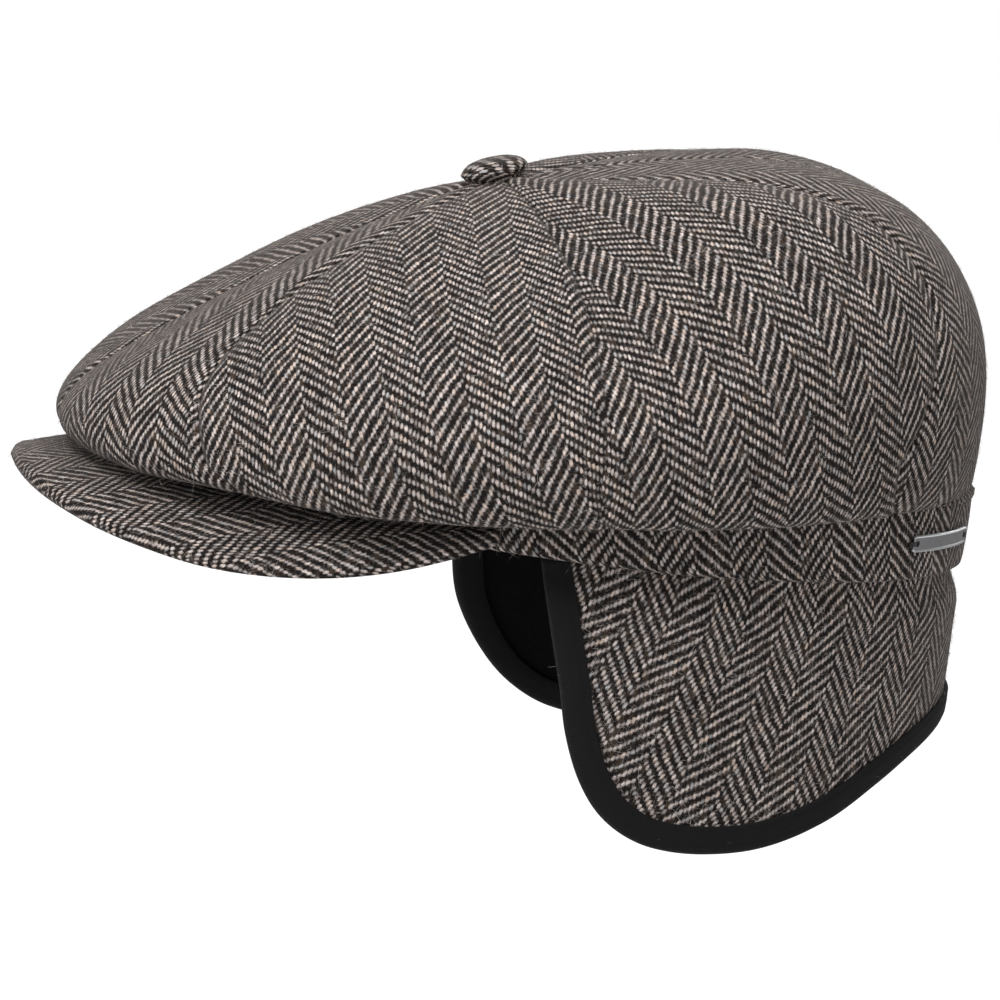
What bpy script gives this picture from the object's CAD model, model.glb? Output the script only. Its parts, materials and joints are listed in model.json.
import bpy
import json
import math
import numpy as np
from mathutils import Matrix, Vector, noise

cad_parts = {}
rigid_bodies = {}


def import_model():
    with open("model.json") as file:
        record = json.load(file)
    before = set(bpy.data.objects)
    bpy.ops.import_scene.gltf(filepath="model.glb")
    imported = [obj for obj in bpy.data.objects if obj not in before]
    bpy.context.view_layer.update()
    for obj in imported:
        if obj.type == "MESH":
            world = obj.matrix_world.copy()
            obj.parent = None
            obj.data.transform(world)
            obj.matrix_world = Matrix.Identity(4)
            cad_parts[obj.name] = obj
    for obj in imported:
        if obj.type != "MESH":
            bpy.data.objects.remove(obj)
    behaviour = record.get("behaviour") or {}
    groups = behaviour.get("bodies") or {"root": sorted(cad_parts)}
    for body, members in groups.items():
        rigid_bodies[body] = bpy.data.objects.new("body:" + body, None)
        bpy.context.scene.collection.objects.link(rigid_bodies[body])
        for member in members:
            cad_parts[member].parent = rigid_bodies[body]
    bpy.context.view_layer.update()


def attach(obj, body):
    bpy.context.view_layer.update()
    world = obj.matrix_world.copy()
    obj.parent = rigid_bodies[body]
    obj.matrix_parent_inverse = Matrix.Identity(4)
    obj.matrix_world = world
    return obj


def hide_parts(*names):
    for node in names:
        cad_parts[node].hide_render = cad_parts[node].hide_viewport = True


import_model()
bpy.ops.object.select_all(action="DESELECT")

# The cap's own sizes, in millimetres, as the solids have them
BAND_HALF_WIDTH, BAND_HALF_LENGTH = 86.0, 104.5
BAND_HEIGHT, BAND_WALL = 20.0, 2.5
CROWN_WALL, FLAP_WALL, LINING_WALL, GAP = 2.0, 1.6, 2.2, 0.3
CROWN_HEIGHT, CROWN_HALF_WIDTH = 86.6, 107.5
CROWN_FRONT_REACH, CROWN_BACK_REACH = 128.4, 117.0
CROWN_MIDDLE_Y, BUTTON_Y = -13.2, -34.4
PANEL_PUFF, BUTTON_HOLE, PANELS = 1.0, 3.2, 8
SEAM_BOW, SEAM_BOW_END = 10.0, 0.7
WIDEST = 0.62
BUTTON_RADIUS, BUTTON_HEIGHT, BUTTON_TILT, BUTTON_GAP = 9.0, 4.4, 19.0, 0.6
PEAK_LENGTH, PEAK_THICKNESS, PEAK_SPAN = 48.0, 4.0, 72.0
PEAK_ROOT_Z, PEAK_DROP, PEAK_SIDE_DROOP, PEAK_ARCH = 3.2, 7.0, 11.0, 1.5
FLAP_DROP, FLAP_TUCK, FLAP_SPREAD, FLAP_SPREAD_DEPTH = 71.5, 13.0, 2.8, 12.0
BINDING_WIDTH, BINDING_TAPE, BINDING_GAP = 6.5, 0.8, 0.5
PLATE_LENGTH, PLATE_HEIGHT, PLATE_THICKNESS = 33.0, 4.4, 0.8
PLATE_ANGLE, PLATE_Z, PLATE_HOLE = 149.3, 10.4, 0.8

# Crown by direction from the front, every 45 degrees: level, lift, sag, dome, reach
CROWN_ROWS = {
    "level": (0.118, 0.145, 0.33, 0.5, 0.462),
    "lift": (-0.24, -0.134, 0.007, 0.2, 0.262),
    "sag": (0.143, 0.141, 0.118, 0.048, 0.0),
    "dome": (1.05, 0.92, 1.08, 0.98, 1.03),
    "reach": (1.05, 1.06, 1.2, 0.75, 0.86),
}

# Free edge of half the flap, from the foot of its front edge to the centre back
FLAP_ROWS = {
    "edge": (83.9, 85.6, 88.2, 91.6, 96, 101, 108, 117, 128, 140, 152, 166, 180),
    "drop": (0.46, 0.62, 0.77, 0.885, 0.96, 0.995, 1.0, 0.97, 0.885, 0.76, 0.66, 0.59, 0.57),
    "top": (76.2, 78.5, 81.5, 86, 91.5, 98, 106.5, 117, 128, 140, 152, 166, 180),
}


# ---- Forms ----

def round_blend(column, angle):
    """Even, smooth blend of one column of the crown's rows, all round the crown."""
    values = CROWN_ROWS[column]
    last = len(values) - 1
    total = np.zeros_like(angle)
    for k in range(last + 1):
        share = sum((0.5 if i in (0, last) else 1.0) * values[i] * math.cos(k * i * math.pi / last)
                    for i in range(last + 1)) * 2 / last
        total += (0.5 if k in (0, last) else 1.0) * share * np.cos(k * np.radians(angle))
    return total


def crown_base(angle, along):
    """Points of the smooth crown: along 0 at the button, WIDEST at its widest line, 1 at the band."""
    a = np.radians(angle)
    reach = np.where(np.cos(a) > 0, CROWN_FRONT_REACH, CROWN_BACK_REACH)
    wide = np.stack([CROWN_HALF_WIDTH * np.sin(a), CROWN_MIDDLE_Y - reach * np.cos(a)], -1)
    apex = np.array([0.0, BUTTON_Y])
    level, lift, sag = (CROWN_HEIGHT * round_blend(c, angle) for c in ("level", "lift", "sag"))
    power = round_blend("reach", angle)
    first = np.arcsin((BUTTON_HOLE / np.linalg.norm(wide - apex, axis=-1)) ** (1 / power))
    turn = first + (np.pi / 2 - first) * np.clip(along / WIDEST, 0, 1)
    share = np.sin(turn) ** power
    plan_up = apex + (wide - apex) * share[:, None]
    fall = np.clip(np.cos(turn), 0, 1) ** round_blend("dome", angle)
    z_up = level + (CROWN_HEIGHT - level) * fall + lift * np.sin(2 * turn)
    under = np.clip((along - WIDEST) / (1 - WIDEST), 0, 1) * np.pi / 2
    seam = np.stack([BAND_HALF_WIDTH * np.sin(a), -BAND_HALF_LENGTH * np.cos(a)], -1)
    plan_down = seam + (wide - seam) * np.cos(under)[:, None]
    foot = BAND_HEIGHT + GAP
    z_down = level - (level - foot) * np.sin(under) - sag * np.sin(2 * under)
    upper = along <= WIDEST
    plan = np.where(upper[:, None], plan_up, plan_down)
    return np.column_stack([plan, np.where(upper, z_up, z_down)])


def crown_normal(angle, along):
    """Outward directions of the smooth crown."""
    down = crown_base(angle, np.minimum(along + 0.01, 1)) - crown_base(angle, np.maximum(along - 0.01, 0))
    side = crown_base(angle + 0.5, along) - crown_base(angle - 0.5, along)
    out = np.cross(down, side)
    return out / np.linalg.norm(out, axis=-1, keepdims=True)


def seam_angle(seam, along):
    """Direction of a crown seam, which bows towards the front or back at mid height."""
    base = seam * 360 / PANELS
    bow = np.sin(np.pi * np.minimum(along / SEAM_BOW_END, 1))
    return base - SEAM_BOW * math.sin(2 * math.radians(base)) * bow


def soft_noise(points, size, seed):
    """Smooth noise from -1 to 1 at each point, with lumps of the given size in millimetres."""
    shift = Vector((seed * 17.3, seed * 5.1, seed * 9.7))
    return np.array([noise.noise(Vector(p) / size + shift) for p in points])


def flap_value(column, place):
    """Smooth reading of the flap's rows, for places from 0 at its front to 1 at centre back."""
    values = FLAP_ROWS[column]
    last = len(values) - 1
    before = 2 * values[0] - values[1]
    after = values[last - 1] if column == "drop" else 2 * values[last] - values[last - 1]
    padded = np.array([before, *values, after, after])
    at = np.clip(place, 0, 1) * last
    i = np.minimum(at.astype(int), last - 1)
    t = at - i
    p, q, r, s = (padded[i + n] for n in range(4))
    return q + 0.5 * t * (r - p + t * (2 * p - 5 * q + 4 * r - s + t * (3 * (q - r) + s - p)))


def back_swell(angle):
    """How much fuller the band and the flap stand at the back than their plain forms."""
    return 1.2 * np.exp(-((angle - 180) / 38) ** 2)


def flap_ripple(angle, z):
    """How far the hanging flap stands off its plain form: soft waves that grow below the band."""
    free = np.clip((-z - 2) / 30, 0, 1)
    a = np.where(angle <= 180, angle, 360 - angle)
    side = np.where(angle <= 180, 0.0, 1.1)
    bulge = 1.3 * np.exp(-((a - 99) / 8) ** 2) * np.exp(-((z + 12) / 8) ** 2)
    inner = np.clip((a - 84) / 20, 0, 1) * free
    waves = 0.8 * np.sin(np.radians(a * 4.6 + 60) + z * 0.035 + side) * inner
    return bulge + waves + back_swell(angle) * (np.clip(-z / 8, 0.5, 1) + 0.5 * np.exp(-((z + 5) / 6) ** 2))


def flap_turn(angle, z):
    """Directions after the hang of the right side, whose front edge swings forward a little."""
    swing = 3.6 * np.exp(-((angle - 276) / 24) ** 2) * np.exp(-((z + 38) / 26) ** 2)
    return np.where(angle > 180, angle + swing, angle)


def flap_place(angle, z, depth):
    """Points of the flap at directions and heights; depth is measured inwards from its face."""
    angle = flap_turn(angle, z)
    a = np.radians(angle)
    fall = np.clip(-z / FLAP_SPREAD_DEPTH, 0, 1)
    off = FLAP_SPREAD * fall * fall * (3 - 2 * fall) + flap_ripple(angle, z) - BAND_WALL - GAP - depth
    return np.column_stack([(BAND_HALF_WIDTH + off) * np.sin(a), -(BAND_HALF_LENGTH + off) * np.cos(a), z])


def band_place(x, z, depth, middle=0.0):
    """Points over the band's outer face, x millimetres round it from a middle direction."""
    middle = math.radians(middle)
    scale = math.hypot(BAND_HALF_WIDTH * math.cos(middle), BAND_HALF_LENGTH * math.sin(middle))
    a = middle + x / scale
    depth = depth + 0.35 + back_swell(np.degrees(a))
    return np.column_stack([(BAND_HALF_WIDTH + depth) * np.sin(a), -(BAND_HALF_LENGTH + depth) * np.cos(a), z])


# ---- Making cloth pieces ----

def flat_grid(name, across, down):
    """A flat grid one unit each way, ready to be laid over its form."""
    bpy.ops.object.select_all(action="DESELECT")
    bpy.ops.mesh.primitive_grid_add(x_subdivisions=across, y_subdivisions=down, size=1)
    piece = bpy.context.object
    piece.name = piece.data.name = name
    return piece


def lay(piece, across, down, form, cloth=None, flip=False):
    """Lays a flat grid over a form, in millimetres, with the cloth's own millimetres as its UVs."""
    mesh = piece.data
    flat = np.empty(len(mesh.vertices) * 3)
    mesh.vertices.foreach_get("co", flat)
    flat = flat.reshape(-1, 3)
    u, v = flat[:, 0] + 0.5, flat[:, 1] + 0.5
    order = np.lexsort((np.round(u * across), np.round(v * down)))
    place = np.empty_like(flat)
    laid = form(u[order], v[order])
    place[order] = laid
    mesh.vertices.foreach_set("co", (place / 1000).ravel())
    lengths = np.empty((len(flat), 2))
    lengths[order] = cloth(laid, u[order], v[order])
    corners = np.empty(len(mesh.loops), dtype=np.int32)
    mesh.loops.foreach_get("vertex_index", corners)
    layer = mesh.uv_layers[0] if mesh.uv_layers else mesh.uv_layers.new()
    layer.name = "cloth"
    layer.data.foreach_set("uv", lengths[corners].ravel())
    mesh.update()
    if flip:
        edit(piece, lambda: bpy.ops.mesh.flip_normals())
    return piece


def edit(piece, *steps, select="SELECT"):
    """Runs edit-mode steps on one piece, with all of it selected at the start."""
    bpy.ops.object.select_all(action="DESELECT")
    piece.select_set(True)
    bpy.context.view_layer.objects.active = piece
    bpy.ops.object.mode_set(mode="EDIT")
    bpy.ops.mesh.select_all(action=select)
    for step in steps:
        step()
    bpy.ops.object.mode_set(mode="OBJECT")


def cloth_lengths(across, down, start=0.0, grain=0.0, shift=(0.0, 0.0), middle=0.5):
    """UVs by length over the laid cloth, from its middle column and a start row, turned to the grain."""
    def lengths(laid, u, v):
        grid = laid.reshape(down + 1, across + 1, 3)
        x = np.zeros(grid.shape[:2])
        x[:, 1:] = np.cumsum(np.linalg.norm(np.diff(grid, axis=1), axis=2), axis=1)
        x -= x[:, [round(across * middle)]]
        y = np.zeros(grid.shape[:2])
        y[1:] = np.cumsum(np.linalg.norm(np.diff(grid, axis=0), axis=2), axis=0)
        y -= y[[round(down * start)]]
        c, s = math.cos(math.radians(grain)), math.sin(math.radians(grain))
        return np.column_stack([(c * x - s * y).ravel() + shift[0], (s * x + c * y).ravel() + shift[1]])
    return lengths


def between(values, axis):
    """Doubles a grid's steps along one axis, with a smooth curve through the points it has."""
    v = np.moveaxis(values, axis, 0)
    middle = (v[:-1] + v[1:]) / 2
    middle[1:-1] = (9 * (v[1:-2] + v[2:-1]) - v[:-3] - v[3:]) / 16
    full = np.empty((2 * len(v) - 1, *v.shape[1:]))
    full[::2], full[1::2] = v, middle
    return np.moveaxis(full, 0, axis)


def flattened(across, down, grain, shift=(0.0, 0.0), start=0.5):
    """UVs of a gore as its paper pattern: laid flat with the least stretch, then turned to the grain."""
    def pattern(laid, u, v):
        grid = laid.reshape(down + 1, across + 1, 3)[::4, ::4]
        rows, columns = grid.shape[:2]
        solid = grid.reshape(-1, 3)
        index = np.arange(rows * columns).reshape(rows, columns)
        a, b, c, d = (index[i:rows - 1 + i, j:columns - 1 + j].ravel() for i, j in ((0, 0), (0, 1), (1, 1), (1, 0)))
        faces = np.concatenate([np.column_stack([a, b, c]), np.column_stack([a, c, d])])
        p, q, r = (solid[faces[:, k]] for k in range(3))
        side = np.linalg.norm(q - p, axis=1)
        along = np.einsum("ij,ij->i", r - p, q - p) / side
        high = np.sqrt(np.maximum(np.einsum("ij,ij->i", r - p, r - p) - along ** 2, 1e-6))
        flat = np.zeros((len(faces), 3, 2))
        flat[:, 1, 0], flat[:, 2, 0], flat[:, 2, 1] = side, along, high
        ends, weights, edges = [], [], []
        for k in range(3):
            i, j, o = k, (k + 1) % 3, (k + 2) % 3
            e, f = flat[:, i] - flat[:, o], flat[:, j] - flat[:, o]
            area = np.abs(e[:, 0] * f[:, 1] - e[:, 1] * f[:, 0])
            ends.append((faces[:, i], faces[:, j]))
            weights.append(np.clip(np.einsum("ij,ij->i", e, f) / area, 0.02, 30))
            edges.append(flat[:, i] - flat[:, j])
        count = len(solid)
        pull = np.zeros((count, count))
        for (i, j), w in zip(ends, weights):
            for x, y in ((i, j), (j, i)):
                np.add.at(pull, (x, x), w)
                np.add.at(pull, (x, y), -w)
        middle = index[int(rows * start), columns // 2]
        pull[middle, middle] += 1.0
        solve = np.linalg.inv(pull)
        place = cloth_lengths(columns - 1, rows - 1, start)(solid, None, None)
        for _ in range(30):
            spin = np.zeros((len(faces), 2))
            for (i, j), w, edge in zip(ends, weights, edges):
                now = place[i] - place[j]
                spin += np.column_stack([np.einsum("ij,ij->i", edge, now),
                                         edge[:, 0] * now[:, 1] - edge[:, 1] * now[:, 0]]) * w[:, None]
            spin /= np.linalg.norm(spin, axis=1, keepdims=True)
            want = np.zeros((count, 2))
            for (i, j), w, edge in zip(ends, weights, edges):
                turned = np.column_stack([edge[:, 0] * spin[:, 0] - edge[:, 1] * spin[:, 1],
                                          edge[:, 0] * spin[:, 1] + edge[:, 1] * spin[:, 0]]) * w[:, None]
                np.add.at(want, i, turned)
                np.add.at(want, j, -turned)
            place = solve @ want
        place -= place[middle]
        lie = place.reshape(rows, columns, 2)
        low = lie[int(rows * start) + 1, columns // 2] - lie[int(rows * start) - 1, columns // 2]
        turn = math.pi / 2 - math.atan2(low[1], low[0]) + math.radians(grain)
        way = np.array([[math.cos(turn), math.sin(turn)], [-math.sin(turn), math.cos(turn)]])
        for axis in (0, 1, 0, 1):
            lie = between(lie, axis)
        full = lie.reshape(-1, 2)
        return full @ way + np.array(shift)
    return pattern


def finish_piece(piece, material, slot, *nodes, modifiers=()):
    """Applies the piece's modifiers, smooths it, gives it its finish and sets it on the body."""
    bpy.ops.object.select_all(action="DESELECT")
    piece.select_set(True)
    bpy.context.view_layer.objects.active = piece
    for kind, settings in modifiers:
        made = piece.modifiers.new(kind.lower(), kind)
        for key, value in settings.items():
            setattr(made, key, value)
        bpy.ops.object.modifier_apply(modifier=made.name)
    bpy.ops.object.shade_smooth()
    piece.data.materials.clear()
    piece.data.materials.append(material)
    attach(piece, "root")
    if nodes:
        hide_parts(*nodes)
    return piece


def wall(thickness):
    """Gives a sheet its thickness inwards from its outer face."""
    return ("SOLIDIFY", {"thickness": thickness / 1000, "offset": -1.0, "use_even_offset": False,
                         "use_quality_normals": True})


# ---- Finishes ----

def calc(tree, operation, *values, clamp=False):
    """One sum in a node tree; values are sockets or numbers."""
    node = tree.nodes.new("ShaderNodeMath")
    node.operation, node.use_clamp = operation, clamp
    for socket, value in zip(node.inputs, values):
        if isinstance(value, (int, float)):
            socket.default_value = value
        else:
            tree.links.new(value, socket)
    return node.outputs[0]


def mixed(tree, factor, first, second, blend="MIX"):
    """Two colours mixed by a factor; each is a socket or a value."""
    node = tree.nodes.new("ShaderNodeMix")
    node.data_type, node.blend_type = "RGBA", blend
    for socket, value in zip((node.inputs[0], node.inputs[6], node.inputs[7]), (factor, first, second)):
        if isinstance(value, (int, float, tuple)):
            socket.default_value = value
        else:
            tree.links.new(value, socket)
    return node.outputs[2]


def grey(tree, value):
    """A grey of the given brightness."""
    node = tree.nodes.new("ShaderNodeCombineColor")
    for socket in node.inputs[:3]:
        tree.links.new(value, socket)
    return node.outputs[0]


def ramp(tree, value, low, high, to_low=0.0, to_high=1.0):
    """A smooth step of a value from one range to another."""
    node = tree.nodes.new("ShaderNodeMapRange")
    node.interpolation_type = "SMOOTHSTEP"
    for name, number in (("From Min", low), ("From Max", high), ("To Min", to_low), ("To Max", to_high)):
        node.inputs[name].default_value = number
    tree.links.new(value, node.inputs["Value"])
    return node.outputs["Result"]


def grainy(tree, vector, scale, detail=2.0, rough=0.5, stretch=(1.0, 1.0, 1.0)):
    """Noise over a vector, from 0 to 1, stretched along an axis where asked."""
    turned = tree.nodes.new("ShaderNodeMapping")
    turned.inputs["Scale"].default_value = stretch
    tree.links.new(vector, turned.inputs["Vector"])
    node = tree.nodes.new("ShaderNodeTexNoise")
    node.inputs["Scale"].default_value = scale
    node.inputs["Detail"].default_value = detail
    node.inputs["Roughness"].default_value = rough
    tree.links.new(turned.outputs["Vector"], node.inputs["Vector"])
    return node.outputs["Fac"], node.outputs["Color"]


def new_group(name, inputs, outputs):
    """An empty shader node group with named inputs, with their values, and named outputs."""
    tree = bpy.data.node_groups.new(name, "ShaderNodeTree")
    kinds = {"float": "NodeSocketFloat", "color": "NodeSocketColor", "vector": "NodeSocketVector"}
    for label, kind, value in inputs:
        socket = tree.interface.new_socket(label, in_out="INPUT", socket_type=kinds[kind])
        if value is not None:
            socket.default_value = value
    for label, kind in outputs:
        tree.interface.new_socket(label, in_out="OUTPUT", socket_type=kinds[kind])
    return tree, tree.nodes.new("NodeGroupInput"), tree.nodes.new("NodeGroupOutput")


def herringbone_group():
    """Broken twill in stripes: light warp floats in slanting lines over a dark ground."""
    tree, given, made = new_group(
        "herringbone",
        [("Cloth", "vector", None), ("End Pitch", "float", 0.84), ("Pick Pitch", "float", 0.92),
         ("Ends", "float", 12.0),
         ("Light", "color", (0.5, 0.45, 0.42, 1)), ("Dark", "color", (0.02, 0.016, 0.014, 1)),
         ("Tan", "color", (0.3, 0.2, 0.125, 1)), ("Grey", "color", (0.25, 0.27, 0.285, 1)),
         ("Fuzz", "color", (0.13, 0.104, 0.093, 1))],
        [("Color", "color"), ("Height", "float")])
    cloth = given.outputs["Cloth"]
    wander, wander_color = grainy(tree, cloth, 0.2, 2.0)
    uneven, _ = grainy(tree, cloth, 1.1, 1.0)
    parts = tree.nodes.new("ShaderNodeSeparateXYZ")
    tree.links.new(cloth, parts.inputs[0])
    drift = tree.nodes.new("ShaderNodeSeparateColor")
    tree.links.new(wander_color, drift.inputs[0])
    x_mm = calc(tree, "ADD", parts.outputs[0], calc(tree, "MULTIPLY_ADD", drift.outputs[0], 1.3, -0.65))
    y_mm = calc(tree, "ADD", parts.outputs[1], calc(tree, "MULTIPLY_ADD", drift.outputs[1], 1.6, -0.8))
    y_mm = calc(tree, "ADD", y_mm, calc(tree, "MULTIPLY_ADD", uneven, 0.5, -0.25))
    x = calc(tree, "DIVIDE", x_mm, given.outputs["End Pitch"])
    y = calc(tree, "DIVIDE", y_mm, given.outputs["Pick Pitch"])
    end = calc(tree, "FLOOR", x)
    across = calc(tree, "SUBTRACT", calc(tree, "SUBTRACT", x, end), 0.5)
    stripe = calc(tree, "FLOOR", calc(tree, "DIVIDE", calc(tree, "ADD", end, 0.5), given.outputs["Ends"]))
    place = calc(tree, "SUBTRACT", end, calc(tree, "MULTIPLY", stripe, given.outputs["Ends"]))
    odd = calc(tree, "MULTIPLY", calc(tree, "FRACT", calc(tree, "MULTIPLY", stripe, 0.5)), 2.0)
    back = calc(tree, "ADD", calc(tree, "SUBTRACT", given.outputs["Ends"], place), 1.0)
    step = calc(tree, "ADD", calc(tree, "MULTIPLY", place, calc(tree, "SUBTRACT", 1.0, odd)),
                calc(tree, "MULTIPLY", back, odd))
    phase = calc(tree, "DIVIDE", calc(tree, "SUBTRACT", y, step), 4.0)
    pick = calc(tree, "FLOOR", phase)
    part = calc(tree, "SUBTRACT", phase, pick)
    cell = tree.nodes.new("ShaderNodeCombineXYZ")
    tree.links.new(end, cell.inputs[0])
    tree.links.new(pick, cell.inputs[1])
    dice = tree.nodes.new("ShaderNodeTexWhiteNoise")
    dice.noise_dimensions = "2D"
    tree.links.new(cell.outputs[0], dice.inputs["Vector"])
    luck = tree.nodes.new("ShaderNodeSeparateColor")
    tree.links.new(dice.outputs["Color"], luck.inputs[0])
    fibre, _ = grainy(tree, cloth, 2.4, 4.0, 0.8)
    down, _ = grainy(tree, cloth, 0.8, 3.0, 0.6)
    blotch, _ = grainy(tree, cloth, 0.05, 2.0)
    wave = calc(tree, "SINE", calc(tree, "MULTIPLY", part, 2 * math.pi))
    lean = calc(tree, "MULTIPLY", calc(tree, "SUBTRACT", part, 0.25), 0.9)
    ridge = calc(tree, "COSINE", calc(tree, "MULTIPLY", calc(tree, "ADD", across, lean), math.pi))
    ridge = calc(tree, "MULTIPLY_ADD", calc(tree, "MAXIMUM", ridge, 0.0), 0.62, 0.38)
    float_up = calc(tree, "MULTIPLY", calc(tree, "ADD", wave, 0.12), ridge)
    strand, _ = grainy(tree, cloth, 1.5, 3.0, 0.75, stretch=(3.2, 1.1, 1.0))
    rough_edge = calc(tree, "MULTIPLY_ADD", fibre, 2.4, -1.2)
    size = calc(tree, "MULTIPLY_ADD", dice.outputs["Value"], 0.36, -0.2)
    light_mask = ramp(tree, calc(tree, "ADD", calc(tree, "ADD", float_up, rough_edge), size), -0.1, 1.0)
    shade = calc(tree, "MULTIPLY_ADD", dice.outputs["Value"], 0.5, 0.55)
    shade = calc(tree, "MULTIPLY", shade, ramp(tree, float_up, -0.1, 1.0, 0.72, 1.2))
    faded, _ = grainy(tree, cloth, 0.38, 2.0, 0.6)
    shade = calc(tree, "MULTIPLY", shade, ramp(tree, faded, 0.3, 0.7, 0.78, 1.2))
    shade = calc(tree, "MULTIPLY", shade, calc(tree, "MULTIPLY_ADD", strand, 3.0, -0.5))
    light = mixed(tree, calc(tree, "MULTIPLY", ramp(tree, luck.outputs[0], 0.8, 1.0), 0.45),
                  given.outputs["Light"], given.outputs["Tan"])
    light = mixed(tree, calc(tree, "MULTIPLY", ramp(tree, luck.outputs[1], 0.72, 0.97), 0.6),
                  light, given.outputs["Grey"])
    light = mixed(tree, 1.0, light, grey(tree, shade), "MULTIPLY")
    tint, _ = grainy(tree, cloth, 0.8, 2.0, 0.7, stretch=(0.5, 1.3, 1.0))
    dark = mixed(tree, ramp(tree, tint, 0.4, 0.62), (0.0045, 0.0055, 0.0065, 1), given.outputs["Dark"])
    dark = mixed(tree, ramp(tree, luck.outputs[2], 0.8, 0.99, 0.0, 0.1), dark, given.outputs["Tan"])
    speck, _ = grainy(tree, cloth, 3.6, 2.0, 0.9)
    dark = mixed(tree, ramp(tree, speck, 0.55, 0.75, 0.0, 0.45), dark, given.outputs["Fuzz"])
    dark = mixed(tree, ramp(tree, strand, 0.52, 0.78, 0.0, 0.4), dark, given.outputs["Fuzz"])
    color = mixed(tree, light_mask, dark, light)
    haze = ramp(tree, down, 0.52, 0.8, 0.0, 0.36)
    color = mixed(tree, haze, color, given.outputs["Fuzz"])
    color = mixed(tree, 1.0, color, grey(tree, ramp(tree, speck, 0.3, 0.7, 0.5, 1.5)), "MULTIPLY")
    hair, _ = grainy(tree, cloth, 0.9, 2.0, 0.6, stretch=(4.5, 0.35, 1.0))
    cross_hair, _ = grainy(tree, cloth, 0.8, 2.0, 0.6, stretch=(0.4, 4.0, 1.0))
    hairs = calc(tree, "MAXIMUM", ramp(tree, hair, 0.64, 0.74), ramp(tree, cross_hair, 0.65, 0.75))
    color = mixed(tree, calc(tree, "MULTIPLY", hairs, 0.4), color, given.outputs["Light"])
    color = mixed(tree, 1.0, color, grey(tree, calc(tree, "MULTIPLY_ADD", blotch, 0.36, 0.82)), "MULTIPLY")
    row = calc(tree, "SINE", calc(tree, "MULTIPLY", y, math.pi))
    ground = calc(tree, "MULTIPLY", calc(tree, "ABSOLUTE", row), 0.25)
    height = calc(tree, "ADD", calc(tree, "MAXIMUM", float_up, ground), calc(tree, "MULTIPLY", fibre, 0.6))
    tree.links.new(color, made.inputs["Color"])
    tree.links.new(height, made.inputs["Height"])
    return tree


def finish(name, roughness, sheen=0.0, metallic=0.0, specular=0.3, sheen_tint=(1, 1, 1, 1)):
    """A material with its Principled shader, its own cloth UVs and object coordinates."""
    material = bpy.data.materials.new(name)
    material.use_nodes = True
    tree = material.node_tree
    shader = tree.nodes["Principled BSDF"]
    shader.inputs["Roughness"].default_value = roughness
    shader.inputs["Metallic"].default_value = metallic
    shader.inputs["Specular IOR Level"].default_value = specular
    shader.inputs["Sheen Weight"].default_value = sheen
    shader.inputs["Sheen Roughness"].default_value = 0.55
    shader.inputs["Sheen Tint"].default_value = sheen_tint
    return material, tree, shader


def raised(tree, shader, height, strength, distance):
    """Feeds a height to the shader's normal through a bump, distance in millimetres."""
    bump = tree.nodes.new("ShaderNodeBump")
    bump.inputs["Strength"].default_value = strength
    bump.inputs["Distance"].default_value = distance / 1000
    tree.links.new(height, bump.inputs["Height"])
    tree.links.new(bump.outputs["Normal"], shader.inputs["Normal"])


def cloth_vector(tree):
    """The piece's cloth UVs, in millimetres."""
    node = tree.nodes.new("ShaderNodeUVMap")
    node.uv_map = "cloth"
    return node.outputs["UV"]


def tweed_finish(name, weave, light, dark):
    """Brushed wool herringbone, whose nap hides the weave where it is seen edge on."""
    material, tree, shader = finish(name, 0.95, sheen=0.03, specular=0.04, sheen_tint=(0.9, 0.87, 0.84, 1))
    group = tree.nodes.new("ShaderNodeGroup")
    group.node_tree = weave
    group.inputs["Light"].default_value = light
    group.inputs["Dark"].default_value = dark
    tree.links.new(cloth_vector(tree), group.inputs["Cloth"])
    edge = tree.nodes.new("ShaderNodeLayerWeight")
    edge.inputs["Blend"].default_value = 0.5
    nap = ramp(tree, edge.outputs["Facing"], 0.45, 0.97, 0.0, 0.62)
    color = mixed(tree, nap, group.outputs["Color"], (0.1, 0.087, 0.082, 1))
    tree.links.new(color, shader.inputs["Base Color"])
    raised(tree, shader, group.outputs["Height"], 0.6, 0.4)
    return material


def fleece_finish():
    """Black brushed fleece, with its nap lying in soft tufts."""
    material, tree, shader = finish("fleece", 1.0, sheen=0.05, specular=0.03)
    cloth = cloth_vector(tree)
    tuft, _ = grainy(tree, cloth, 0.9, 4.0, 0.7)
    patch, _ = grainy(tree, cloth, 0.12, 2.0)
    color = mixed(tree, tuft, (0.001, 0.001, 0.001, 1), (0.0055, 0.0055, 0.0058, 1))
    color = mixed(tree, ramp(tree, patch, 0.4, 0.7, 0.0, 0.5), color, (0.004, 0.004, 0.0045, 1))
    tree.links.new(color, shader.inputs["Base Color"])
    raised(tree, shader, tuft, 0.8, 0.6)
    return material


def tape_finish():
    """Black twill tape: fine slanting ribs, with lint and wear on its fold."""
    material, tree, shader = finish("tape", 0.8, sheen=0.02, specular=0.08)
    cloth = cloth_vector(tree)
    parts = tree.nodes.new("ShaderNodeSeparateXYZ")
    tree.links.new(cloth, parts.inputs[0])
    slant = calc(tree, "ADD", parts.outputs[0], parts.outputs[1])
    rib = calc(tree, "SINE", calc(tree, "MULTIPLY", slant, 2 * math.pi / 0.55))
    lint, _ = grainy(tree, cloth, 1.6, 4.0, 0.7)
    color = mixed(tree, ramp(tree, rib, -1, 1), (0.0035, 0.0035, 0.004, 1), (0.011, 0.011, 0.0115, 1))
    color = mixed(tree, ramp(tree, lint, 0.58, 0.8, 0.0, 0.5), color, (0.03, 0.03, 0.031, 1))
    tree.links.new(color, shader.inputs["Base Color"])
    height = calc(tree, "ADD", calc(tree, "MULTIPLY", rib, 0.5), lint)
    raised(tree, shader, height, 0.5, 0.12)
    return material


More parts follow.
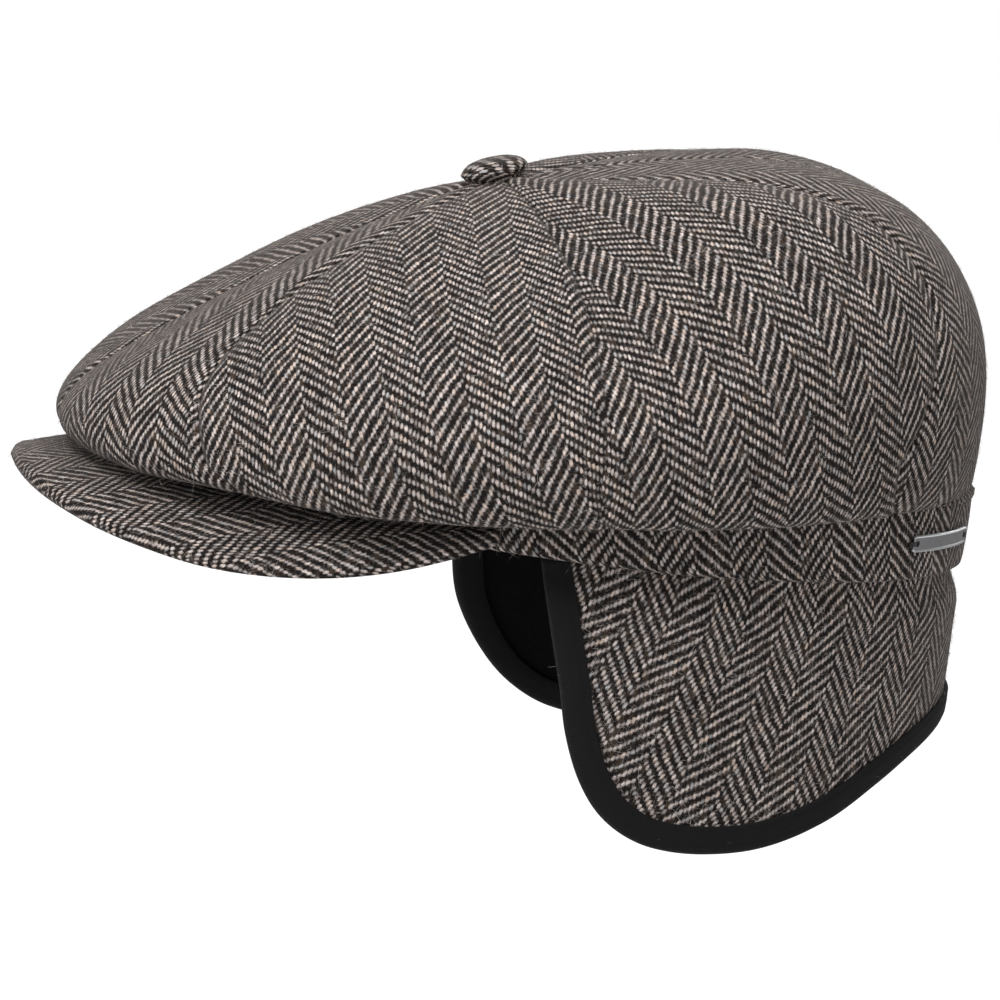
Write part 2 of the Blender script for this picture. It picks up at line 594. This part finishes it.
def plate_finish():
    """Satin metal, brushed along the plate, duller where it is handled."""
    material, tree, shader = finish("plate_metal", 0.34, metallic=1.0, specular=0.5)
    cloth = cloth_vector(tree)
    brush, _ = grainy(tree, cloth, 3.0, 3.0, 0.6, stretch=(0.06, 2.5, 1.0))
    smear, _ = grainy(tree, cloth, 0.35, 3.0, 0.6)
    color = mixed(tree, brush, (0.24, 0.24, 0.25, 1), (0.42, 0.42, 0.43, 1))
    seen = tree.nodes.new("ShaderNodeTexCoord").outputs["Object"]
    parts = tree.nodes.new("ShaderNodeSeparateXYZ")
    tree.links.new(seen, parts.inputs[0])
    away = calc(tree, "ABSOLUTE", calc(tree, "SUBTRACT", calc(tree, "MULTIPLY", parts.outputs[2], 1000.0), PLATE_Z))
    color = mixed(tree, ramp(tree, away, PLATE_HEIGHT / 2 - 0.75, PLATE_HEIGHT / 2 - 0.5), color, (0.72, 0.73, 0.74, 1))
    tree.links.new(color, shader.inputs["Base Color"])
    rough = calc(tree, "ADD", ramp(tree, smear, 0.3, 0.7, 0.26, 0.42), calc(tree, "MULTIPLY", brush, 0.12))
    tree.links.new(rough, shader.inputs["Roughness"])
    raised(tree, shader, brush, 0.25, 0.03)
    return material


def thread_finish(name, color):
    """Sewing thread, twisted round its length."""
    material, tree, shader = finish(name, 0.7, sheen=0.15, specular=0.3)
    seen = tree.nodes.new("ShaderNodeTexCoord").outputs["Object"]
    twist, _ = grainy(tree, seen, 3500.0, 2.0)
    tree.links.new(mixed(tree, twist, color, tuple(min(c * 2.2, 1) for c in color[:3]) + (1,)), shader.inputs["Base Color"])
    raised(tree, shader, twist, 0.4, 0.05)
    return material


weave = herringbone_group()
LIGHT, DARK = (0.465, 0.405, 0.38, 1), (0.0085, 0.0045, 0.0032, 1)
tweed = tweed_finish("tweed", weave, LIGHT, DARK)
fleece = fleece_finish()
tape = tape_finish()
plate_metal = plate_finish()
black_thread = thread_finish("black_thread", (0.006, 0.006, 0.007, 1))


# ---- Crown ----

PANEL_GRAIN = {1: 6, 2: 14, 3: 22, 4: 8, 5: -8, 6: -22, 7: -14, 8: -6}


def crown_cloth(index):
    """One gore, puffed between its seams, which sink in and pucker along the stitches."""
    across, down = 44, 120
    name = f"crown_cloth_{index + 1}"
    piece = flat_grid(name, across, down)

    def form(u, v):
        along = v
        a0, a1 = seam_angle(index, along), seam_angle(index + 1, along)
        angle = a0 * (1 - u) + a1 * u
        smooth = crown_base(angle, along)
        out = crown_normal(angle, along)
        width = np.linalg.norm(crown_base(a1, along) - crown_base(a0, along), axis=-1)
        edge = np.minimum(u, 1 - u) * width
        puff = PANEL_PUFF * 1.25 * np.sin(np.pi * u) * np.sin(np.pi * along)
        valley = 0.6 * np.exp(-(edge / 1.2) ** 2) * np.clip(width / 12, 0.2, 1)
        behind = np.exp(-((np.abs(angle) % 360 - 180) / 32) ** 2)
        foot = (0.5 + 1.5 * behind) * np.exp(-((1 - along) * 150 / 2.4) ** 2)
        run = along * 170 + np.where(u > 0.5, 3.1, 0.0)
        pucker = 0.16 * np.sin(run * 2 * np.pi / 6.3 + index) * np.exp(-edge / 3.2)
        lumps = 1.1 * soft_noise(smooth, 52, 1) + 0.45 * soft_noise(smooth, 21, 2)
        lumps *= np.sin(np.pi * np.clip(along, 0, 1)) ** 0.5
        off = puff + lumps - valley - foot + pucker * np.clip(width / 30, 0, 1)
        return smooth + out * off[:, None]

    cloth = flattened(across, down, PANEL_GRAIN[index + 1], shift=(3.7 * index, 2.9 * index))
    lay(piece, across, down, form, cloth)
    point_outwards(piece)
    return finish_piece(piece, tweed, "tweed", f"crown_panel_{index + 1}", modifiers=[wall(CROWN_WALL)])


def point_outwards(piece):
    """Turns a sheet's faces away from the middle of the head."""
    middle = Vector((0, 0, 0.02))
    total = sum((f.center - middle).dot(f.normal) * f.area for f in piece.data.polygons)
    if total < 0:
        edit(piece, lambda: bpy.ops.mesh.flip_normals())


for number in range(PANELS):
    crown_cloth(number)


# ---- Button ----

def button_cover():
    """Covered button: a padded disc, its cloth gathered under the rim in small folds."""
    across, down = 72, 26
    piece = flat_grid("button_cover", across, down)
    profile = np.array([(0.0, 1.0), (0.3, 0.985), (0.55, 0.92), (0.76, 0.79), (0.91, 0.58), (0.985, 0.36),
                        (1.0, 0.2), (0.94, 0.02), (0.84, -0.12), (0.74, -0.45), (0.0, -0.5)])
    steps = np.linspace(0, 1, len(profile))

    def form(u, v):
        turn = u * 2 * np.pi
        r = np.interp(v, steps, profile[:, 0]) * BUTTON_RADIUS
        h = np.interp(v, steps, profile[:, 1]) * BUTTON_HEIGHT
        rim = np.exp(-((v - 0.62) / 0.16) ** 2)
        folds = rim * (0.22 * np.sin(turn * 13) + 0.12 * np.sin(turn * 21 + 1.0))
        r = r * (1 + folds * 0.06) + 0.12 * rim * np.sin(turn * 3 + 0.6)
        local = np.column_stack([r * np.cos(turn), r * np.sin(turn), h])
        t = math.radians(BUTTON_TILT)
        turned = local @ np.array([[1, 0, 0], [0, math.cos(t), math.sin(t)], [0, -math.sin(t), math.cos(t)]])
        return turned + np.array([0, BUTTON_Y - BUTTON_GAP * math.sin(t), CROWN_HEIGHT + BUTTON_GAP * math.cos(t)])

    def cloth(laid, u, v):
        turn = u * 2 * np.pi + 0.5
        r = v * BUTTON_RADIUS * 1.5
        return np.column_stack([r * np.cos(turn) + 4, r * np.sin(turn)])

    lay(piece, across, down, form, cloth)
    edit(piece, lambda: bpy.ops.mesh.remove_doubles(threshold=0.00002),
         lambda: bpy.ops.mesh.normals_make_consistent(inside=False))
    return finish_piece(piece, tweed, "tweed", "button")


button_cover()


# ---- Band ----

def band_cloth():
    """Headband: cloth turned over a rounded lower edge, joined at the centre back."""
    across, down = 300, 30
    piece = flat_grid("band_cloth", across, down)
    half = BAND_WALL / 2
    outline = [(BAND_WALL, BAND_HEIGHT)]
    outline += [(BAND_WALL, BAND_HEIGHT - t * (BAND_HEIGHT - half)) for t in np.linspace(0.1, 1, 9)]
    outline += [(half + half * math.cos(t), half - half * math.sin(t)) for t in np.linspace(0.4, math.pi - 0.4, 6)]
    outline += [(0.0, half + t * (BAND_HEIGHT - half)) for t in np.linspace(0, 0.9, 9)]
    outline += [(0.25, BAND_HEIGHT - 0.5), (0.9, BAND_HEIGHT), (BAND_WALL, BAND_HEIGHT)]
    outline = np.array(outline)
    steps = np.linspace(0, 1, len(outline))

    def form(u, v):
        angle = (u - 0.5) * 360
        depth = np.interp(v, steps, outline[:, 0])
        z = np.interp(v, steps, outline[:, 1])
        a = np.radians(angle)
        plain = np.column_stack([BAND_HALF_WIDTH * np.sin(a), -BAND_HALF_LENGTH * np.cos(a), z])
        face = np.clip(1 - depth / BAND_WALL, 0, 1)
        swell = face * (0.35 * np.sin(np.pi * z / BAND_HEIGHT) + 0.35 * soft_noise(plain, 24, 4))
        joint = 0.5 * face * np.exp(-((180 - np.abs(angle)) / 0.8) ** 2)
        swell = swell + face * back_swell(angle % 360) * np.clip(z / 1.2 + 0.3, 0, 1)
        off = swell - joint - depth
        z = z + 0.25 * soft_noise(plain, 30, 5) * np.clip(1 - z / 6, 0, 1)
        return np.column_stack([(BAND_HALF_WIDTH + off) * np.sin(a), -(BAND_HALF_LENGTH + off) * np.cos(a), z])

    def cloth(laid, u, v):
        """Cut in two halves, leaning alike, that meet at the centre back."""
        x, y = cloth_lengths(across, down)(laid, u, v).T
        lean = np.radians(-12) * np.sign(x)
        return np.column_stack([x * np.cos(lean) - y * np.sin(lean) + 2, x * np.sin(lean) + y * np.cos(lean)])

    lay(piece, across, down, form, cloth)
    edit(piece, lambda: bpy.ops.mesh.remove_doubles(threshold=0.00002),
         lambda: bpy.ops.mesh.normals_make_consistent(inside=False))
    return finish_piece(piece, tweed, "tweed", "band")


band_cloth()


# ---- Peak ----

def peak_cover():
    """Peak: stiff crescent in cloth, its two faces joined in a rounded edge."""
    across, down = 150, 56
    piece = flat_grid("peak_cover", across, down)

    def form(u, v):
        angle = PEAK_SPAN * (2 * u - 1)
        a = np.radians(angle)
        share = np.clip(np.cos(a * 90 / PEAK_SPAN), 0, 1) ** 0.75
        reach = 2.5 + (PEAK_LENGTH - 2.5) * share
        top = v > 0.5
        run = np.where(top, 2 * (1 - v), 2 * v)
        run = np.clip(run, 0, 1)
        out = 1 - (1 - run) ** 1.25
        root = np.stack([(BAND_HALF_WIDTH + GAP) * np.sin(a), -(BAND_HALF_LENGTH + GAP) * np.cos(a)], -1)
        way = np.stack([np.sin(a) * BAND_HALF_LENGTH, -np.cos(a) * BAND_HALF_WIDTH], -1)
        way /= np.linalg.norm(way, axis=-1, keepdims=True)
        way = way * 0.75 + np.array([0, -1]) * 0.25
        way /= np.linalg.norm(way, axis=-1, keepdims=True)
        plan = root + way * (reach * out)[:, None]
        s = np.abs(angle) / PEAK_SPAN
        droop = PEAK_SIDE_DROOP * np.sin(np.pi * s ** 1.6)
        fall = PEAK_DROP * reach / PEAK_LENGTH + droop
        left = reach * (1 - out)
        edge = np.clip(left / (PEAK_THICKNESS * 0.55), 0, 1)
        half = PEAK_THICKNESS / 2 * np.sqrt(1 - (1 - edge) ** 2)
        welt = 0.25 * np.exp(-((left - 3.2) / 1.2) ** 2)
        middle = PEAK_ROOT_Z - fall * out ** 1.15 + PEAK_ARCH * np.sin(np.pi * out)
        plain = np.column_stack([plan, middle])
        waver = 0.35 * soft_noise(plain, 26, 7)
        z = middle + np.where(top, half - welt * (half > 0.5), -half) + waver
        return np.column_stack([plan, z])

    def cloth(laid, u, v):
        """Front to back on top, carried on round the edge and in underneath."""
        grid = laid.reshape(down + 1, across + 1, 3)[::-1]
        step = np.diff(grid, axis=0)
        long = np.linalg.norm(step, axis=2, keepdims=True)
        flat = step[:, :, :2] / np.maximum(np.linalg.norm(step[:, :, :2], axis=2, keepdims=True), 1e-6)
        way = flat[6:7]
        run = np.concatenate([grid[:1, :, :2], way * long]).cumsum(axis=0)
        mm = run[::-1].reshape(-1, 2)
        return np.column_stack([mm[:, 0] * 1.06 + 3.0, -mm[:, 1] * 1.01])

    lay(piece, across, down, form, cloth)
    edit(piece, lambda: bpy.ops.mesh.remove_doubles(threshold=0.00002))
    edit(piece, lambda: bpy.ops.mesh.select_mode(type="EDGE"),
         lambda: bpy.ops.mesh.select_non_manifold(extend=False, use_boundary=True),
         lambda: bpy.ops.mesh.fill_holes(sides=0),
         lambda: bpy.ops.mesh.select_all(action="SELECT"),
         lambda: bpy.ops.mesh.normals_make_consistent(inside=False), select="DESELECT")
    return finish_piece(piece, tweed, "tweed", "peak")


peak_cover()


# ---- Flap, lining and binding ----

def free_edge(place, inset):
    """Directions and heights of the flap's free edge, moved inwards by an inset."""
    def at(p):
        return np.column_stack([flap_value("edge", p), -FLAP_DROP * flap_value("drop", p)])
    here = at(place)
    scale = np.radians(1) * np.hypot((BAND_HALF_WIDTH - 2) * np.cos(np.radians(here[:, 0])),
                                     (BAND_HALF_LENGTH - 2) * np.sin(np.radians(here[:, 0])))
    step = at(np.minimum(place + 0.004, 1)) - at(np.maximum(place - 0.004, 0))
    along = np.column_stack([step[:, 0] * scale, step[:, 1]])
    along /= np.linalg.norm(along, axis=-1, keepdims=True)
    return here[:, 0] - along[:, 1] * inset / scale, here[:, 1] + along[:, 0] * inset


def flap_sheet(name, depth, thickness, material, slot, node, across, down, inset, bend):
    """One layer of the flap, all round from one front edge to the other."""
    piece = flat_grid(name, across, down)

    def form(u, v):
        mirrored = u > 0.5
        place = np.where(mirrored, 2 - 2 * u, 2 * u)
        foot_angle, foot = free_edge(place, inset * (0.4 + 0.6 * np.clip(place * 8, 0, 1)))
        top = flap_value("top", place) + 0.4 * inset / 1.55 * np.clip(1 - place * 2.5, 0, 1)
        down_z = FLAP_TUCK + (foot - FLAP_TUCK) * v
        angle = top + (foot_angle - top) * v
        return flap_place(np.where(mirrored, 360 - angle, angle), down_z, depth)

    lay(piece, across, down, form, flap_cloth(bend))
    point_outwards(piece)
    return finish_piece(piece, material, slot, node, modifiers=[wall(thickness)])


def flap_cloth(bend):
    """UVs of the flap: millimetres round the band and down, on a pattern cut as a bent strip."""
    def lengths(laid, u, v):
        angle = np.degrees(np.arctan2(laid[:, 0] / BAND_HALF_WIDTH, -laid[:, 1] / BAND_HALF_LENGTH)) % 360
        table = np.linspace(0, 360, 721)
        step = np.hypot(BAND_HALF_WIDTH * np.cos(np.radians(table)), BAND_HALF_LENGTH * np.sin(np.radians(table)))
        arc = np.concatenate([[0], np.cumsum((step[1:] + step[:-1]) / 2 * np.radians(0.5))])
        x, y = np.interp(angle, table, arc) - arc[360], laid[:, 2]
        return np.column_stack([(bend + y) * np.sin(x / bend) + 1.0, bend - (bend + y) * np.cos(x / bend)])
    return lengths


flap_sheet("ear_flap_cloth", 0.0, FLAP_WALL, tweed, "tweed", "ear_flap", 240, 64, 2.6, 480.0)
flap_sheet("flap_fleece", FLAP_WALL + GAP, LINING_WALL, fleece, "lining", "flap_lining", 200, 48, 2.6, 480.0)


def binding_path(count):
    """Directions and heights down one front edge, round the free edge and up the other."""
    front = {column: FLAP_ROWS[column][0] for column in FLAP_ROWS}
    foot = -FLAP_DROP * front["drop"]
    z = np.linspace(-GAP, foot, 24)[:-1]
    angle = front["top"] + (front["edge"] - front["top"]) * (z - FLAP_TUCK) / (foot - FLAP_TUCK)
    place = np.linspace(0, 1, count)
    half = np.column_stack([np.concatenate([angle, flap_value("edge", place)]),
                            np.concatenate([z, -FLAP_DROP * flap_value("drop", place)])])
    other = half[-2::-1].copy()
    other[:, 0] = 360 - other[:, 0]
    return np.concatenate([half, other])


def flap_binding():
    """Black tape folded over the flap's free edge, held by one line of stitches."""
    path = binding_path(110)
    back = FLAP_WALL + GAP + LINING_WALL
    near, far = BINDING_GAP * 0.6, BINDING_GAP + BINDING_TAPE
    w = BINDING_WIDTH
    profile = np.array([
        (w, -near), (w, -far + 0.25), (w - 0.5, -far), (w - 1.2, -far + 0.22), (w - 1.9, -far - 0.05),
        (w * 0.5, -far - 0.12), (1.0, -far - 0.1), (-0.3, -far * 0.8), (-far * 0.85, 0.2), (-far, back / 2),
        (-far * 0.85, back - 0.2), (-0.3, back + far * 0.8), (1.0, back + far), (w * 0.5, back + far + 0.05),
        (w - 0.5, back + far), (w, back + far - 0.25), (w, back + near), (-near, back + near),
        (-near, -near), (w, -near)])
    across, down = len(path) - 1, len(profile) - 1
    piece = flat_grid("binding_tape", across, down)
    scale = np.radians(1) * np.hypot((BAND_HALF_WIDTH - 2) * np.cos(np.radians(path[:, 0])),
                                     (BAND_HALF_LENGTH - 2) * np.sin(np.radians(path[:, 0])))
    step = np.gradient(path, axis=0)
    along = np.column_stack([step[:, 0] * scale, step[:, 1]])
    along /= np.linalg.norm(along, axis=-1, keepdims=True)
    inward = np.column_stack([-along[:, 1], along[:, 0]])
    inward[0], inward[-1] = (1, 0), (-1, 0)

    def form(u, v):
        i = np.round(u * across).astype(int)
        j = np.round(v * down).astype(int)
        into, depth = profile[j, 0], profile[j, 1]
        z = np.minimum(path[i, 1] + inward[i, 1] * into, -0.1)
        return flap_place(path[i, 0] + inward[i, 0] * into / scale[i], z, depth)

    lay(piece, across, down, form, cloth_lengths(across, down))
    edit(piece, lambda: bpy.ops.mesh.remove_doubles(threshold=0.00001))
    edit(piece, lambda: bpy.ops.mesh.select_mode(type="EDGE"),
         lambda: bpy.ops.mesh.select_non_manifold(extend=False, use_boundary=True),
         lambda: bpy.ops.mesh.fill_holes(sides=0),
         lambda: bpy.ops.mesh.select_all(action="SELECT"),
         lambda: bpy.ops.mesh.normals_make_consistent(inside=False), select="DESELECT")
    return finish_piece(piece, tape, "binding", "flap_binding")


flap_binding()


# ---- Plate ----

def plate():
    """Blank plate bent to the band, with a raised rim and a sewing hole at each end."""
    across, down = 132, 28
    piece = flat_grid("plate_blank", across, down)

    def form(u, v):
        x = PLATE_LENGTH * (u - 0.5)
        end = np.clip(np.abs(x) - (PLATE_LENGTH / 2 - 1.6), 0, None) / 1.6
        half = PLATE_HEIGHT / 2 * np.sqrt(np.clip(1 - (0.8 * end) ** 2.6, 0.2, 1))
        z = half * (2 * v - 1)
        edge = np.minimum(half - np.abs(z), PLATE_LENGTH / 2 - np.abs(x))
        rim = 0.32 * np.clip((0.62 - edge) / 0.2, 0, 1)
        lip = -0.2 * np.clip(1 - edge / 0.14, 0, 1)
        return band_place(x, PLATE_Z + z, GAP + PLATE_THICKNESS - 0.15 + rim + lip, PLATE_ANGLE)

    lay(piece, across, down, form, cloth_lengths(across, down))
    point_outwards(piece)
    made = finish_piece(piece, plate_metal, "plate", "name_plate", modifiers=[wall(PLATE_THICKNESS)])
    for side in (-1, 1):
        x = np.array([side * (PLATE_LENGTH / 2 - 2.0)])
        z = np.array([PLATE_Z])
        inner = Vector(band_place(x, z, -1.0, PLATE_ANGLE)[0] / 1000)
        outer = Vector(band_place(x, z, 4.0, PLATE_ANGLE)[0] / 1000)
        bpy.ops.object.select_all(action="DESELECT")
        bpy.ops.mesh.primitive_cylinder_add(
            vertices=24, radius=PLATE_HOLE / 1000, depth=(outer - inner).length,
            location=(inner + outer) / 2, rotation=(outer - inner).to_track_quat("Z", "Y").to_euler())
        drill = bpy.context.object
        cut = made.modifiers.new("hole", "BOOLEAN")
        cut.object, cut.operation, cut.solver = drill, "DIFFERENCE", "EXACT"
        bpy.context.view_layer.objects.active = made
        bpy.ops.object.modifier_apply(modifier=cut.name)
        bpy.data.objects.remove(drill)
    bpy.ops.object.select_all(action="DESELECT")
    made.select_set(True)
    bpy.context.view_layer.objects.active = made
    bpy.ops.object.shade_smooth_by_angle(angle=math.radians(35))
    return made


plate()


def settle(piece):
    """Puts a piece's place into its mesh, so its object sits at the origin unturned."""
    bpy.ops.object.select_all(action="DESELECT")
    piece.select_set(True)
    bpy.context.view_layer.objects.active = piece
    bpy.ops.object.transform_apply(location=True, rotation=True, scale=True)


def plate_threads(side):
    """Turns of thread up through one of the plate's holes, round its end and into the band."""
    turns = []
    for n in range(4):
        x = np.array([side * (PLATE_LENGTH / 2 - 0.35)])
        z = np.array([PLATE_Z + (n - 1.5) * 0.34])
        at = Vector(band_place(x, z, 0.62, PLATE_ANGLE)[0] / 1000)
        out = Vector(band_place(x, z, 5.0, PLATE_ANGLE)[0] / 1000) - at
        way = Vector(band_place(x + 1, z, 0.62, PLATE_ANGLE)[0] / 1000) - at
        out.normalize()
        way = (way - out * way.dot(out)).normalized()
        bpy.ops.object.select_all(action="DESELECT")
        bpy.ops.mesh.primitive_torus_add(major_segments=32, minor_segments=8, major_radius=0.00095, minor_radius=0.00017)
        turn = bpy.context.object
        turn.matrix_world = Matrix.Translation(at) @ Matrix((way, out, way.cross(out))).transposed().to_4x4()
        turn.scale = (1.75, 0.62, 1)
        settle(turn)
        turns.append(turn)
    bpy.ops.object.select_all(action="DESELECT")
    for turn in turns:
        turn.select_set(True)
    bpy.context.view_layer.objects.active = turns[0]
    bpy.ops.object.join()
    piece = turns[0]
    piece.name = piece.data.name = f"plate_thread_{'rear' if side > 0 else 'front'}"
    return finish_piece(piece, black_thread, "binding")


for end in (-1, 1):
    plate_threads(end)


# ---- Wool fibres ----

FIBRE_ROWS = 5


def fibre_finish():
    """Loose wool fibres, from pale to dark, each of one shade or nearly so."""
    material, tree, shader = finish("wool_fibre", 0.85, specular=0.08)
    seen = tree.nodes.new("ShaderNodeTexCoord").outputs["Object"]
    pale, _ = grainy(tree, seen, 420.0, 2.0, 0.7)
    warm, _ = grainy(tree, seen, 150.0, 1.0)
    color = mixed(tree, ramp(tree, pale, 0.4, 0.62), (0.05, 0.042, 0.038, 1), (0.5, 0.455, 0.43, 1))
    color = mixed(tree, ramp(tree, warm, 0.55, 0.75, 0.0, 0.5), color, (0.3, 0.2, 0.13, 1))
    tree.links.new(color, shader.inputs["Base Color"])
    return material


def fibres(name, pieces, count, seed, length=2.4, high=0.5, width=0.075):
    """Fibres teased out of the cloth's outer face, each a curved ribbon rooted in it."""
    dice = np.random.default_rng(seed)
    points, normals, areas = [], [], []
    middle = np.array([0, 0, 20.0])
    for piece in pieces:
        mesh = piece.data
        n = len(mesh.polygons)
        centre, normal, area = np.empty(n * 3), np.empty(n * 3), np.empty(n)
        mesh.polygons.foreach_get("center", centre)
        mesh.polygons.foreach_get("normal", normal)
        mesh.polygons.foreach_get("area", area)
        centre, normal = centre.reshape(-1, 3) * 1000, normal.reshape(-1, 3)
        out = np.einsum("ij,ij->i", centre - middle, normal) > 4.0
        points.append(centre[out])
        normals.append(normal[out])
        areas.append(area[out] * 1e6)
    points, normals, areas = (np.concatenate(part) for part in (points, normals, areas))
    pick = dice.choice(len(points), count, p=areas / areas.sum())
    root, up, spread = points[pick], normals[pick], np.sqrt(areas[pick])
    way = dice.normal(size=(count, 3))
    way -= up * np.einsum("ij,ij->i", way, up)[:, None]
    way /= np.linalg.norm(way, axis=1, keepdims=True)
    side = np.cross(up, way)
    root = root + (way * dice.uniform(-0.5, 0.5, (count, 1)) + side * dice.uniform(-0.5, 0.5, (count, 1))) * spread[:, None]
    long = length * dice.lognormal(0, 0.4, count)[:, None]
    tall = np.minimum(high * dice.lognormal(-0.2, 0.5, count), 0.9)[:, None]
    curl = dice.normal(0, 0.35, (count, 1)) * long
    lift = dice.uniform(0.5, 1.0, (count, 1))
    wide = way * dice.normal(0, 0.5, (count, 1)) + side + up * dice.normal(0, 0.5, (count, 1))
    wide *= width / 2 / np.linalg.norm(wide, axis=1, keepdims=True)

    bpy.ops.object.select_all(action="DESELECT")
    bpy.ops.mesh.primitive_grid_add(x_subdivisions=1, y_subdivisions=FIBRE_ROWS - 1, size=0.001)
    strand = bpy.context.object
    strand.name = strand.data.name = name
    many = strand.modifiers.new("many", "ARRAY")
    many.count = count
    bpy.ops.object.modifier_apply(modifier=many.name)
    place = np.empty((count, FIBRE_ROWS, 2, 3))
    for row in range(FIBRE_ROWS):
        t = row / (FIBRE_ROWS - 1)
        spine = (root + way * long * t + side * curl * t * t
                 + up * (tall * np.sin(np.pi * t * lift) - 0.12 * (1 - t)))
        taper = 1.0 - 0.6 * t
        place[:, row, 0] = spine - wide * taper
        place[:, row, 1] = spine + wide * taper
    strand.data.vertices.foreach_set("co", (place / 1000).ravel())
    strand.data.update()
    return finish_piece(strand, wool_fibre, "tweed")


wool_fibre = fibre_finish()
cloths = bpy.data.objects
fibres("crown_fibres", [cloths[f"crown_cloth_{n + 1}"] for n in range(PANELS)], 20000, 11)
fibres("flap_fibres", [cloths["ear_flap_cloth"]], 9000, 12)
fibres("band_fibres", [cloths["band_cloth"]], 2200, 13, high=0.4)
fibres("peak_fibres", [cloths["peak_cover"]], 2600, 14, high=0.4)
fibres("button_fibres", [cloths["button_cover"]], 160, 15, length=1.6, high=0.3)


# ---- Stage, light and camera ----

def stage():
    """Pale floor, well below the cap, and soft light all round."""
    bpy.ops.object.select_all(action="DESELECT")
    bpy.ops.mesh.primitive_circle_add(vertices=96, radius=6.0, fill_type="NGON", location=(0, 0, -0.42))
    floor = bpy.context.object
    floor.name = "floor"
    pale = bpy.data.materials.new("pale_floor")
    pale.use_nodes = True
    tree = pale.node_tree
    shader = tree.nodes["Principled BSDF"]
    shader.inputs["Base Color"].default_value = (0.85, 0.85, 0.85, 1)
    shader.inputs["Roughness"].default_value = 0.9
    glow = tree.nodes.new("ShaderNodeEmission")
    glow.inputs["Strength"].default_value = 1.2
    blend = tree.nodes.new("ShaderNodeMixShader")
    rays = tree.nodes.new("ShaderNodeLightPath")
    tree.links.new(calc(tree, "MULTIPLY", rays.outputs["Is Camera Ray"], 0.9), blend.inputs[0])
    tree.links.new(shader.outputs[0], blend.inputs[1])
    tree.links.new(glow.outputs[0], blend.inputs[2])
    tree.links.new(blend.outputs[0], tree.nodes["Material Output"].inputs["Surface"])
    floor.data.materials.append(pale)

    world = bpy.data.worlds.new("white_room")
    bpy.context.scene.world = world
    world.use_nodes = True
    tree = world.node_tree
    background = tree.nodes["Background"]
    rays = tree.nodes.new("ShaderNodeLightPath")
    tree.links.new(calc(tree, "MULTIPLY_ADD", rays.outputs["Is Camera Ray"], 0.76, 0.24), background.inputs["Strength"])
    background.inputs["Color"].default_value = (1, 1, 1, 1)

    for name, place, size, power in (
            ("key", (0.9, -0.75, 1.2), 0.7, 20.0),
            ("top", (0.0, 0.1, 1.6), 1.0, 14.0),
            ("side", (1.3, 1.0, 0.5), 0.8, 6.5),
            ("front", (0.7, -1.5, 0.42), 0.9, 8.0),
            ("far", (-1.3, 0.7, 0.9), 1.0, 9.0)):
        lamp = bpy.data.lights.new(name, "AREA")
        lamp.shape, lamp.size, lamp.energy = "DISK", size, power
        light = bpy.data.objects.new(name, lamp)
        bpy.context.scene.collection.objects.link(light)
        light.location = place
        light.rotation_mode = "QUATERNION"
        light.rotation_quaternion = (Vector((0, 0, 0.02)) - Vector(place)).to_track_quat("-Z", "Y")


def camera():
    """Camera at the photograph's angle, a little tilted, so the cap's front sits high."""
    azimuth, elevation, roll = (math.radians(n) for n in (80.0, 9.35, 8.3))
    distance, focal = 1.536, 3.705 * 1536 / 1000
    back = Vector((math.sin(azimuth) * math.cos(elevation), -math.cos(azimuth) * math.cos(elevation), math.sin(elevation)))
    level = Vector((math.cos(azimuth), math.sin(azimuth), 0))
    upright = back.cross(level)
    right = level * math.cos(roll) + upright * math.sin(roll)
    up = -level * math.sin(roll) + upright * math.cos(roll)
    # the cap's origin sits right of the middle of the frame and a little below it
    ahead = (-back + right * ((500 - 576) / 1000 / focal) + up * ((508 - 500) / 1000 / focal)).normalized()
    right = (right - ahead * right.dot(ahead)).normalized()
    up = right.cross(ahead)
    data = bpy.data.cameras.new("camera")
    data.sensor_width, data.lens = 36, focal * 36
    data.clip_start, data.clip_end = 0.05, 50
    view = bpy.data.objects.new("camera", data)
    bpy.context.scene.collection.objects.link(view)
    view.matrix_world = Matrix.Translation(back * distance) @ Matrix((right, up, -ahead)).transposed().to_4x4()
    bpy.context.scene.camera = view


stage()
camera()
bpy.context.scene.view_settings.view_transform = "Standard"
